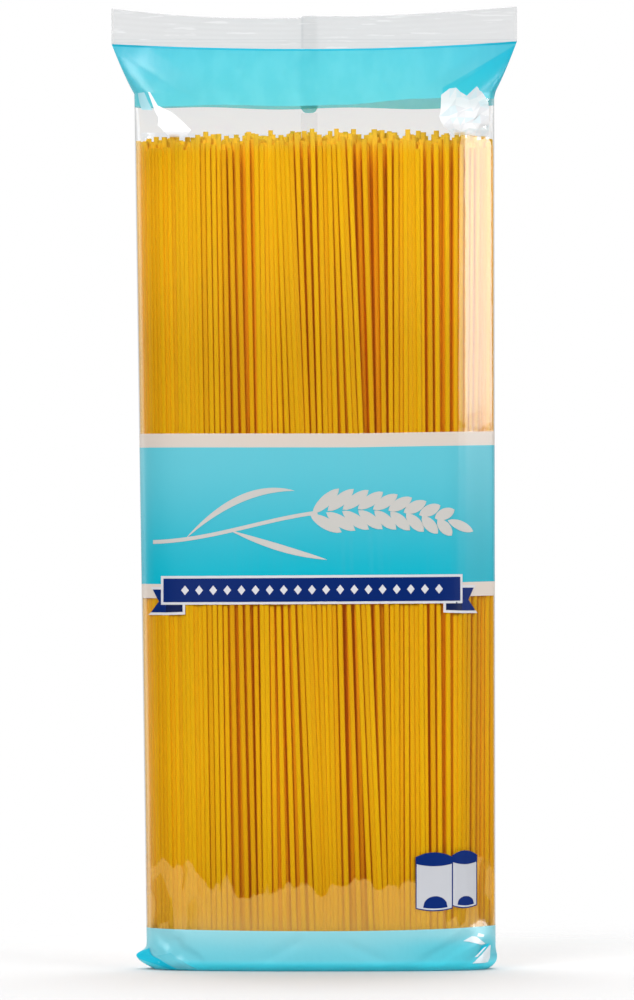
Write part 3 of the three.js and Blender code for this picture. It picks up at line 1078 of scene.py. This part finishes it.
glints = [
    rails([(48.5, 8.9), (46.1, 9.3), (49.0, 10.7)], [(51.8, 8.1), (53.0, 8.4), (50.4, 10.5)], 7, 9),
    rails([(50.6, 10.6), (51.2, 11.6)], [(52.6, 10.4), (53.0, 11.0)], 4, 5),
    rails([(49.1, 2.3), (51.8, 4.8), (54.2, 7.6)], [(53.7, 2.5), (54.2, 3.6), (54.7, 7.9)], 9, 7),
    rails([(49.6, 4.2), (52.2, 6.8)], [(50.6, 4.3), (53.4, 7.4)], 7, 4),
]
right_fold = rails([(50.8, 5.6), (51.8, 7.6)], [(53.6, 6.9), (54.3, 8.4)], 5, 6)
ear_fold = rails([(-46.2, 0.4), (-51.6, 3.0), (-52.6, 5.0)], [(-43.8, 0.7), (-49.3, 4.4), (-51.0, 6.9)], 9, 6)
ear_fold_light = rails([(-44.0, 0.7), (-48.6, 4.6)], [(-37.5, 0.8), (-44.6, 5.6)], 7, 7)
fold_parts = [
    crumpled("shoulder_crumple", shoulder, 0.45, 0.7, crease_glint_inks, CREASE_ODDS),
    lay("fold_highlight", [rails(leaf_left, leaf_right, 26, 5)], leaf_highlight_white, 0.15),
    lay("shoulder_flap", [rails(flap_left, flap_right, 7, 5)], flap_blue, 0.13),
    lay("foot_glints", glints, painted_glint_white, 0.22),
    lay("foot_fold_deep", [right_fold, ear_fold], crease_cyan, 0.16),
    lay("foot_fold_light", [ear_fold_light], crease_light, 0.14),
]

# %% [markdown]
# The tube was closed along its back: one edge of the film laps over the other in a narrow strip, which
# runs from the foot up through the seal and shows there as a faint upright line.

# %% The lapped seam on the back
seam_film = clear_film("film_seam", shine=0.7)
SEAM_LEFT, SEAM_RIGHT, SEAM_STEP, SEAM_COLUMNS = -4.2, 1.0, 2.5, 9
TAB_ROUNDING = 1.4
# The heights at which the seam's print changes, and the print of each part between two of them.
seam_edges = [0.6, 12.2, 115.0, 119.4, 161.8, 166.1, 267.2, FIN_ROOT, FIN_TOP]
seam_inks = [ink_foot, seam_film, ink_cream, ink_label, ink_cream, seam_film, ink_top, seal_film]
seam_parts = []
for low, high, material in zip(seam_edges[:-1], seam_edges[1:], seam_inks):
    levels = max(2, int((high - low) / SEAM_STEP) + 1)
    left, right = ([(x, low), (x, high)] for x in (SEAM_LEFT, SEAM_RIGHT))
    strip = rails(left, right, levels, SEAM_COLUMNS)
    if material is ink_top:
        strip[0, :, 1] += TAB_ROUNDING * np.linspace(-1, 1, SEAM_COLUMNS) ** 4
    seam_parts.append(lay("back_seam_" + str(len(seam_parts)), [strip], material, 0.3, 1))

shown = [bag, outer, middle, inner, *ribbon_parts, ear, *badge_parts, *fold_parts, *seam_parts]
for piece in shown:
    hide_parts("packet")

# %% [markdown]
# ## Camera, floor and light
#
# The camera looks straight at the front, about level with the middle of the packet, from far enough
# away that the sides stay almost parallel. The light is a studio's: large soft boxes at the left, the
# right and overhead, a white ground behind, and tall narrow boxes whose reflections draw the bright
# stripe and the rims of the film. The room in front is kept dark, so that the film stays clear.

# %% Camera
CAMERA_DISTANCE = 2.4
CAMERA_X, CAMERA_HEIGHT = 0.00085, 0.1461
FRAME_HEIGHT = 0.3096
camera = added("camera", bpy.data.cameras.new("camera"))
camera.data.sensor_width = 36.0
camera.data.lens = camera.data.sensor_width * CAMERA_DISTANCE / FRAME_HEIGHT
camera.data.clip_start, camera.data.clip_end = 0.05, 50.0
camera.location = (CAMERA_X, cad_low.y - CAMERA_DISTANCE, CAMERA_HEIGHT)
camera.rotation_euler = (math.radians(90.0), 0.0, 0.0)
bpy.context.scene.camera = camera
print("lens", round(camera.data.lens, 1), "mm")

# %% Floor
# A pale disc that fades out to nothing before its edge, so that it melts into the white ground.
FLOOR_REACH, FLOOR_SIDES = 0.3, 64
FLOOR_GREY = (0.58, 0.58, 0.585, 1.0)
FADE_START, FADE_END = 60.0, 290.0
turns = np.arange(FLOOR_SIDES) / FLOOR_SIDES * 2 * np.pi
ring = FLOOR_REACH * np.stack([np.cos(turns), np.sin(turns), 0 * turns], -1)
floor_mesh = bpy.data.meshes.new("floor")
floor_mesh.from_pydata(ring.tolist(), [], [list(range(FLOOR_SIDES))])
floor = added("floor", floor_mesh)
floor_paint = Paint("floor_white")
_, floor_x, floor_y, _ = floor_paint.place()
away = (floor_x * floor_x + floor_y * floor_y).maths("SQRT")
ground = floor_paint.node("ShaderNodeBsdfPrincipled", None, {"Base Color": FLOOR_GREY, "Roughness": 0.9})
open_air = floor_paint.node("ShaderNodeBsdfTransparent")
floor_look = floor_paint.blended(away.between(FADE_START, FADE_END), ground, open_air)
floor_mesh.materials.append(floor_paint.finish(floor_look))

# %% Lights


def softbox(name, place, aim, size, power, only_gloss=False):
    """A rectangular light turned towards the aim; one that is only gloss shows in reflections alone."""
    lamp = bpy.data.lights.new(name, "AREA")
    lamp.shape, lamp.size, lamp.size_y, lamp.energy = "RECTANGLE", size[0], size[1], power
    box = added(name, lamp)
    away = np.array(place) - np.array(aim)
    across_angle = math.atan2(away[0], -away[1])
    up_angle = math.atan2(away[2], math.hypot(away[0], away[1]))
    box.location = place
    box.rotation_euler = (math.radians(90.0) - up_angle, 0.0, across_angle)
    box.visible_camera = False
    box.visible_diffuse = not only_gloss


softbox("key", (-1.3, -2.5, 1.45), (0, 0, 0.13), (1.8, 1.4), 80.0)
softbox("fill", (2.3, -1.9, 1.35), (0, 0, 0.13), (1.8, 1.4), 54.0)
softbox("overhead", (0, 0.5, 1.6), (0, 0.1, 0), (1.4, 1.4), 30.0)
softbox("stripe", (0.62, -0.17, 0.4725), (0, 0, 0.4725), (0.22, 0.6), 3.2, True)
softbox("stripe_edge", (0.566, -0.311, 0.4725), (0, 0, 0.4725), (0.1, 0.6), 0.5, True)
softbox("rim_left", (-0.6, 0.3, 0.25), (0, 0, 0.15), (0.25, 0.7), 0.5, True)
softbox("rim_right", (0.6, 0.35, 0.25), (0, 0, 0.15), (0.25, 0.7), 0.45, True)

# %% [markdown]
# The room is a white cove behind the packet and a dim one in front. The background the camera sees is
# plain white from every side.

# %% World
studio = Paint("studio", bpy.data.worlds.new("studio"))
direction = studio.node("ShaderNodeTexCoord", output="Generated")
behind = studio.node("ShaderNodeSeparateXYZ", None, {0: direction}, 1)
glow = behind.between(-0.45, 0.6, 0.03, 0.75)
seen = studio.node("ShaderNodeLightPath", output="Is Camera Ray")
white = studio.node("ShaderNodeBackground", None, {"Color": (1, 1, 1, 1), "Strength": 1.0})
dim = studio.node("ShaderNodeBackground", None, {"Color": (1, 1, 1, 1), "Strength": glow})
bpy.context.scene.world = studio.finish(studio.blended(seen, dim, white), "ShaderNodeOutputWorld")
bpy.context.scene.view_settings.view_transform = "Standard"
